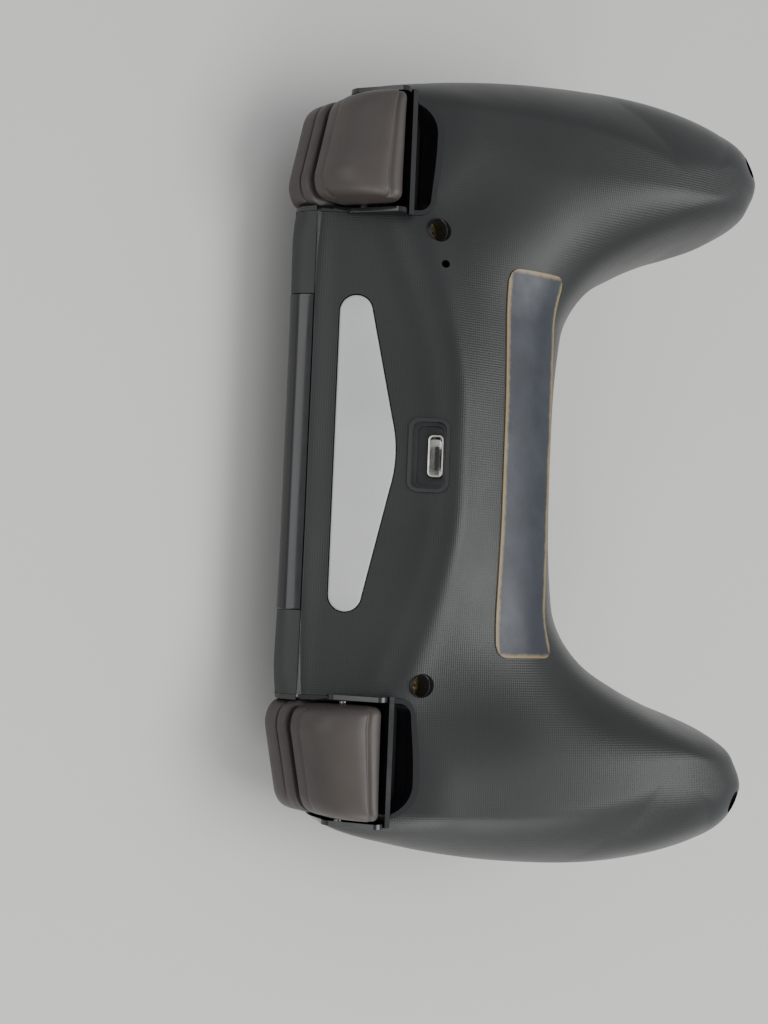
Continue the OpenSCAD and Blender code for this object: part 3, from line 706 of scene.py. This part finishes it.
class CONTROLLER_OT_upper_shell(bpy.types.Operator):
    """Face with its dishes, stick rings, button holes and the touchpad opening"""
    bl_idname = "controller.upper_shell"
    bl_label = "Upper shell"

    def execute(self, context):
        shell = shell_solid("upper_shell_skin", False, 0, WALL)
        carve(shell, prism("touchpad_cut", touchpad_outline(0.2), 2, 24))
        cut_shoulders(shell)
        for s in (-1, 1):
            hole = [(0, 4), (13.4, 4), (13.4, 19), (0, 19)]
            carve(shell, turned("stick_cut", hole, 96, at(s * STICK_X, STICK_Y, 0)))
            carve(shell, turned("dish_cut", [(0, 8), (15.6, 8), (15.2, 9.25), (14.6, 9.4), (0, 9.4)], 96,
                                at(s * CLUSTER_X, CLUSTER_Y, 0)))
            carve(shell, prism("menu_cut", slot_outline(2.0, 2.2), 6, 13, at(s * 35.2, -33.5, 0)))
        for k in range(4):
            hole = spin(90 * k, CLUSTER_X, CLUSTER_Y) @ at(PITCH, 0, 0)
            carve(shell, turned("button_cut", [(0, 6), (5.55, 6), (5.55, 14), (0, 14)], 64, hole))
            carve(shell, prism("arm_cut", dpad_arm_outline(0.4), 6, 14, spin(90 * k, -CLUSTER_X, CLUSTER_Y)))
        carve(shell, turned("home_cut", [(0, 6), (5.4, 6), (5.4, 14), (0, 14)], 72, at(0, HOME_Y, 0)))
        for k in range(-2, 3):
            for m in range(-1, 2):
                carve(shell, turned("grille_cut", [(0, 6), (0.6, 6), (0.6, 13), (0, 13)], 20,
                                    at(2.4 * k, SPEAKER_Y + 2 * m, 0)))
        cut_rear_ports(shell)
        finish(shell, "root", "face_plastic", "upper_shell")
        ring = curve_through([(13.0, 9.0), (13.3, 8.5), (13.9, 8.35), (14.6, 8.6), (15.3, 9.6),
                              (15.35, 11.4)], 5)
        bowl = np.vstack([ring, [(14.0, 12.2), (8.7, 13.9), (8.6, 12.9), (11.0, 11.9), (12.6, 10.7),
                                 (13.0, 9.0)]])
        for s, side in ((-1, "left"), (1, "right")):
            finish(turned(f"{side}_stick_ring", bowl, 128, at(s * STICK_X, STICK_Y, 0)), "root", "face_plastic")
            wall_cut = prism(f"{side}_stick_wall", rounded_box(19, 9, 0.5), 9.8, 19.7, at(s * STICK_X, 12.4, 0))
            wall = [(13.7, 8), (15.1, 8), (15.1, 21), (13.7, 21), (13.7, 8)]
            tube = turned("tube", wall, 128, at(s * STICK_X, STICK_Y, 0))
            carve(wall_cut, tube, "INTERSECT")
            finish(wall_cut, "root", "face_plastic")
        return {"FINISHED"}


class CONTROLLER_OT_touchpad(bpy.types.Operator):
    """Glossy touch surface that rolls over the front edge"""
    bl_idname = "controller.touchpad"
    bl_label = "Touchpad"

    def execute(self, context):
        pad = shell_solid("touchpad_skin", False, -0.15, 1.6)
        carve(pad, prism("pad_plan", touchpad_outline(0), 3, 22), "INTERSECT")
        soften(pad, 0.25, 3, 50)
        finish(pad, "touchpad", "gloss_black", "touchpad")
        return {"FINISHED"}


def plan_front(x):
    """Front edge of a shoulder button at distance x from the middle, in millimetres."""
    lo, hi = np.array([TRIGGER_X - 6.4, -46.5, 4.5]), np.array([TRIGGER_X + 4.9, -42.4, 5.6])
    run = np.hypot(hi[0] - lo[0], hi[1] - lo[1])
    lean = math.atan2(hi[1] - lo[1], hi[0] - lo[0]) - math.asin((hi[2] - lo[2]) / run)
    normal = np.array([math.sin(lean), -math.cos(lean)])
    a, b = lo[:2] + lo[2] * normal, hi[:2] + hi[2] * normal
    if x < a[0]:
        return lo[1] - math.sqrt(max(lo[2] ** 2 - (x - lo[0]) ** 2, 0))
    if x > b[0]:
        return hi[1] - math.sqrt(max(hi[2] ** 2 - (x - hi[0]) ** 2, 0))
    return a[1] + (b[1] - a[1]) * (x - a[0]) / (b[0] - a[0])


def shoulder_button(name, s, loop, inner, outer, back, rounding=1.3, columns=72):
    """Side profile swept across the group, following the plan and rounded at both ends."""
    loop = np.asarray(loop, float)
    centre = loop.mean(axis=0)
    u = 0.5 - 0.5 * np.cos(np.linspace(0, np.pi, columns))
    sections = []
    for x in inner + u * (outer - inner):
        reach = min(x - inner, outer - x)
        round_in = 1 - math.sqrt(max(1 - (1 - min(reach / rounding, 1)) ** 2, 0))
        out = loop - centre
        size = np.hypot(out[:, 0], out[:, 1])[:, None]
        p = centre + out * (1 - rounding * round_in / np.maximum(size, rounding))
        depth = (plan_front(x) - back) / (-51.0 - back)
        y = np.where(p[:, 0] < back, back + (p[:, 0] - back) * depth, p[:, 0])
        sections.append(np.column_stack([np.full(len(p), x), y, p[:, 1]]))
    first, last = sections[0].mean(axis=0), sections[-1].mean(axis=0)
    rows = np.array([np.tile(first, (len(loop), 1)), *sections, np.tile(last, (len(loop), 1))])
    rows = np.concatenate([rows, rows[:, :1]], axis=1)
    rows[..., 0] *= s
    return sheet(name, rows)


class CONTROLLER_OT_bumpers(bpy.types.Operator):
    """Upper shoulder buttons: a crescent face, a groove and a raised band"""
    bl_idname = "controller.bumpers"
    bl_label = "Bumpers"

    def execute(self, context):
        loop = curve_through([(-39, 11.0), (-43.5, 10.3), (-46.8, 10.3), (-48.9, 11.2), (-49.9, 12.9),
                              (-50.0, 14.4),
                              (-49.75, 15.3), (-49.3, 15.55), (-49.35, 15.9), (-49.8, 16.2), (-49.75, 17.2),
                              (-49.2, 17.9), (-47.8, 18.1), (-42, 18.1), (-38.6, 17.9), (-38.2, 15),
                              (-38.4, 12)], 5, True)
        for s, side in ((-1, "left"), (1, "right")):
            cap = shoulder_button(f"{side}_bumper_cap", s, loop, TRIGGER_X - TRIGGER_W / 2,
                                  TRIGGER_X + TRIGGER_W / 2 - 0.3, -37.5)
            finish(cap, f"{side}_bumper", "trigger_plastic", f"{side}_bumper", angle=60)
        return {"FINISHED"}


class CONTROLLER_OT_triggers(bpy.types.Operator):
    """Lower shoulder buttons: recessed lip, domed satin pad and glossy root"""
    bl_idname = "controller.triggers"
    bl_label = "Triggers"

    def execute(self, context):
        pad = [(-47.4, 19.15), (-48.9, 19.35), (-49.45, 20.0), (-49.45, 21.4), (-49.2, 22.3),
               (-49.35, 22.7), (-49.8, 23.1),
               (-49.85, 23.9), (-49.3, 26.0), (-48.0, 28.2), (-46.0, 30.1), (-43.8, 31.5), (-42.2, 32.1),
               (-41.5, 32.1)]
        root = [(-41.1, 31.6), (-40.7, 31.5), (-39.8, 31.9), (-38.4, 31.9), (-37.2, 31.1), (-36.5, 29.4),
                (-36.4, 26),
                (-36.6, 21.5), (-37.6, 19.6), (-42, 19.1)]
        loop = curve_through(pad + root, 5, True)
        for s, side in ((-1, "left"), (1, "right")):
            cap = shoulder_button(f"{side}_trigger_cap", s, loop, TRIGGER_X - TRIGGER_W / 2 + 0.5,
                                  TRIGGER_X + TRIGGER_W / 2 - 0.5, -36.5, 1.6)
            satin, gloss = finishes()["trigger_plastic"], finishes()["gloss_black"]
            for face in cap.data.polygons:
                c = face.center / MM
                diagonal = c.z > 25 and (abs(c.x) - 47.3) < 0.55 * (c.y + 46.0)
                face.material_index = 1 if (c.y > -41.35 and c.z > 19.4) or diagonal else 0
            finish(cap, f"{side}_trigger", "trigger_plastic", f"{side}_trigger", angle=60,
                   materials=(satin, gloss))
        return {"FINISHED"}


class CONTROLLER_OT_trigger_surrounds(bpy.types.Operator):
    """Glossy liners whose rims frame both shoulder groups"""
    bl_idname = "controller.trigger_surrounds"
    bl_label = "Trigger surrounds"

    def execute(self, context):
        for s, side in ((-1, "left"), (1, "right")):
            liner = body_solid(f"{side}_trigger_liner", 0.16)
            ring = prism("ring", mirrored(shoulder_outline(0), s), 10.5, 39)
            carve(ring, prism("ring_hole", mirrored(shoulder_outline(-0.95), s), 8, 42))
            carve(liner, ring, "INTERSECT")
            soften(liner, 0.22, 3, 50)
            finish(liner, "root", "gloss_black")
            plan = np.array([(46.9, -33.2), (69.0, -33.2), (69.0, -29.4), (46.9, -29.4)])
            back = prism(f"{side}_trigger_floor", mirrored(plan, s), 19.0, 27.5)
            soften(back, 0.8, 3, 50)
            finish(back, "root", "dark_plastic")
        return {"FINISHED"}


class CONTROLLER_OT_action_buttons(bpy.types.Operator):
    """Four round glossy action buttons"""
    bl_idname = "controller.action_buttons"
    bl_label = "Action buttons"

    def execute(self, context):
        top = curve_through([(0, 6.72), (1.8, 6.76), (3.4, 6.86), (4.5, 7.15), (5.0, 7.7), (5.2, 8.5)], 6)
        profile = np.vstack([top, [(5.2, 12.5), (5.7, 12.6), (5.7, 14.2), (0, 14.2)]])
        for k, name in ((0, "east"), (1, "south"), (2, "west"), (3, "north")):
            place = spin(90 * k, CLUSTER_X, CLUSTER_Y) @ at(PITCH, 0, 0)
            cap = turned(f"{name}_button_cap", profile, 96, place)
            finish(cap, f"button_{name}", "button_plastic", f"button_{name}")
        return {"FINISHED"}


class CONTROLLER_OT_direction_pad(bpy.types.Operator):
    """Four arms of the direction pad, each with a small pointer sunk into its top, on one plate"""
    bl_idname = "controller.direction_pad"
    bl_label = "Direction pad"

    def execute(self, context):
        arms = []
        for k in range(4):
            place = spin(90 * k, -CLUSTER_X, CLUSTER_Y)
            arm = prism("dpad_arm", dpad_arm_outline(0), FACE_Z - 2, FACE_Z + 4.2, place)
            soften(arm, 0.7, 4, 50)
            pointer = prism("pointer", [(11.6, 0), (9.8, 1.3), (9.8, -1.3)], FACE_Z - 3, FACE_Z - 1.75, place)
            carve(arm, pointer)
            arms.append(arm)
        plate = turned("direction_pad_cross", [(0, 12.6), (12.7, 12.6), (13, 12.9), (13, 13.9),
                                               (12.7, 14.2), (0, 14.2)], 96,
                       at(-CLUSTER_X, CLUSTER_Y, 0))
        bpy.ops.object.select_all(action="DESELECT")
        for piece in [*arms, plate]:
            piece.select_set(True)
        bpy.context.view_layer.objects.active = plate
        bpy.ops.object.join()
        finish(plate, "dpad", "button_plastic", "dpad")
        return {"FINISHED"}


class CONTROLLER_OT_small_buttons(bpy.types.Operator):
    """Two menu buttons and the home button"""
    bl_idname = "controller.small_buttons"
    bl_label = "Small buttons"

    def execute(self, context):
        for s, side in ((-1, "left"), (1, "right")):
            cap = prism(f"{side}_menu_cap", slot_outline(1.68, 2.2), FACE_Z - 0.8, FACE_Z + 3.4,
                        at(s * 35.2, -33.5, 0))
            soften(cap, 0.5, 4, 50)
            finish(cap, f"{side}_menu_button", "button_plastic", f"{side}_menu_button")
        top = curve_through([(0, 9.45), (2.4, 9.4), (3.9, 9.25), (4.5, 9.05), (4.9, 9.15), (5.1, 9.6)], 6)
        home = turned("home_button_cap", np.vstack([top, [(5.1, 12.2), (5.6, 12.3), (5.6, 13.0),
                                                          (0, 13.0)]]), 96,
                      at(0, HOME_Y, 0))
        finish(home, "home_button", "button_plastic", "home_button")
        return {"FINISHED"}


class CONTROLLER_OT_stick_caps(bpy.types.Operator):
    """Dished stick caps with a knurled edge, a neck and a domed skirt"""
    bl_idname = "controller.stick_caps"
    bl_label = "Stick caps"

    def execute(self, context):
        rim = curve_through([(0, 1.35), (3.4, 1.3), (5.2, 1.0), (6.2, 0.45), (6.9, 0.08), (7.6, 0.0),
                             (8.3, 0.1), (8.95, 0.55),
                             (9.25, 1.2), (9.28, 2.0), (9.1, 2.8), (8.4, 3.5), (6.6, 4.0), (4.8, 4.6),
                             (4.0, 5.8), (3.9, 7.6),
                             (3.95, 9.2)], 5)
        skirt = arc((0, GIMBAL_Z), 10.0, -66, -22, 14)
        under = arc((0, GIMBAL_Z), 9.15, -22, -74, 14)
        profile = np.vstack([rim, skirt, under, [(1.65, 10.4), (1.65, 7.6), (0, 7.6)]])
        for s, side in ((-1, "left"), (1, "right")):
            cap = turned(f"{side}_stick_top", profile, 192)
            points = np.zeros(len(cap.data.vertices) * 3)
            cap.data.vertices.foreach_get("co", points)
            points = points.reshape(-1, 3) / MM
            r, turn = np.hypot(points[:, 0], points[:, 1]), np.arctan2(points[:, 1], points[:, 0])
            band = np.exp(-((r - 9.25) / 0.25) ** 2) * np.exp(-((points[:, 2] - 1.7) / 1.0) ** 2)
            points[:, :2] *= (1 - 0.012 * band * (0.5 + 0.5 * np.cos(64 * turn)))[:, None]
            shape(cap, points + (s * STICK_X, STICK_Y, 0))
            finish(cap, f"{side}_stick_cap", "cap_rubber", f"{side}_stick_cap", angle=40)
        return {"FINISHED"}


class CONTROLLER_OT_inner_parts(bpy.types.Operator):
    """Finishes for the boards, battery, motors and other parts kept from the frame"""
    bl_idname = "controller.inner_parts"
    bl_label = "Inner parts"

    def execute(self, context):
        slots = {part["node"]: part["material_slot"] for part in frame["record"]["subparts"]}
        for name, obj in frame["nodes"].items():
            obj.data.materials.clear()
            obj.data.materials.append(finishes()[slots[name]])
        return {"FINISHED"}


class CONTROLLER_OT_stage(bpy.types.Operator):
    """Pale table top, soft lights and the camera"""
    bl_idname = "controller.stage"
    bl_label = "Stage"

    def execute(self, context):
        look, view = context.scene.controller_look, context.scene.controller_camera
        bpy.ops.object.select_all(action="DESELECT")
        bpy.ops.mesh.primitive_plane_add(size=6, location=(0, 0, 0))
        floor = bpy.context.active_object
        floor.name = "table_top"
        floor.location.z = -0.00002
        table = Finish("table_finish", tuple(c * 0.96 for c in look.floor_colour), tuple(look.floor_colour),
                       (0.5, 0.6), 3,
                       900, 0.004)
        floor.data.materials.append(table.done())
        world = bpy.data.worlds.new("studio")
        world.use_nodes = True
        world.node_tree.nodes["Background"].inputs["Color"].default_value = (0.80, 0.82, 0.84, 1)
        world.node_tree.nodes["Background"].inputs["Strength"].default_value = 0.78
        context.scene.world = world
        self.area("overhead", (0.10, 0.25, 0.70), (0, 0, 0.02), 0.60, 0.40, view.power)
        self.area("side", (0.55, -0.05, 0.28), (0.05, 0, 0.03), 0.30, 0.45, view.power * 0.45)
        self.area("front", (-0.10, -0.75, 0.35), (0, -0.02, 0.02), 0.7, 0.3, view.power * 0.30)
        data = bpy.data.cameras.new("camera")
        data.lens, data.sensor_width = view.lens, 36.0
        data.clip_start = 0.01
        camera = bpy.data.objects.new("camera", data)
        camera.location, camera.rotation_euler = view.place, view.turn
        context.scene.collection.objects.link(camera)
        context.scene.camera = camera
        return {"FINISHED"}

    def area(self, name, place, target, width, height, power):
        data = bpy.data.lights.new(name, "AREA")
        data.shape, data.size, data.size_y, data.energy = "RECTANGLE", width, height, power
        lamp = bpy.data.objects.new(name, data)
        lamp.location = place
        lamp.rotation_euler = (Vector(target) - Vector(place)).to_track_quat("-Z", "Y").to_euler()
        bpy.context.scene.collection.objects.link(lamp)


PIECES = (
    CONTROLLER_OT_inner_parts, CONTROLLER_OT_lower_shell, CONTROLLER_OT_screw_wells, CONTROLLER_OT_light_bar,
    CONTROLLER_OT_charging_port, CONTROLLER_OT_label, CONTROLLER_OT_upper_shell, CONTROLLER_OT_touchpad,
    CONTROLLER_OT_bumpers, CONTROLLER_OT_triggers, CONTROLLER_OT_trigger_surrounds,
    CONTROLLER_OT_action_buttons,
    CONTROLLER_OT_direction_pad, CONTROLLER_OT_small_buttons, CONTROLLER_OT_stick_caps, CONTROLLER_OT_stage,
)


class VIEW3D_PT_controller(bpy.types.Panel):
    """Lists the controller's pieces and settings"""
    bl_label = "Controller"
    bl_idname = "VIEW3D_PT_controller"
    bl_space_type = "VIEW_3D"
    bl_region_type = "UI"
    bl_category = "Controller"

    def draw(self, context):
        for settings in (context.scene.controller_look, context.scene.controller_camera):
            for key in settings.__annotations__:
                self.layout.prop(settings, key)
        for piece in PIECES:
            self.layout.operator(piece.bl_idname)


CLASSES = (ControllerLook, ControllerCamera, *PIECES, VIEW3D_PT_controller)


def register():
    for cls in CLASSES:
        bpy.utils.register_class(cls)
    bpy.types.Scene.controller_look = bpy.props.PointerProperty(type=ControllerLook)
    bpy.types.Scene.controller_camera = bpy.props.PointerProperty(type=ControllerCamera)


def unregister():
    del bpy.types.Scene.controller_camera
    del bpy.types.Scene.controller_look
    for cls in reversed(CLASSES):
        bpy.utils.unregister_class(cls)


def main():
    register()
    for piece in PIECES:
        group, name = piece.bl_idname.split(".")
        getattr(getattr(bpy.ops, group), name)()
    bpy.ops.object.select_all(action="DESELECT")


if __name__ == "__main__":
    main()
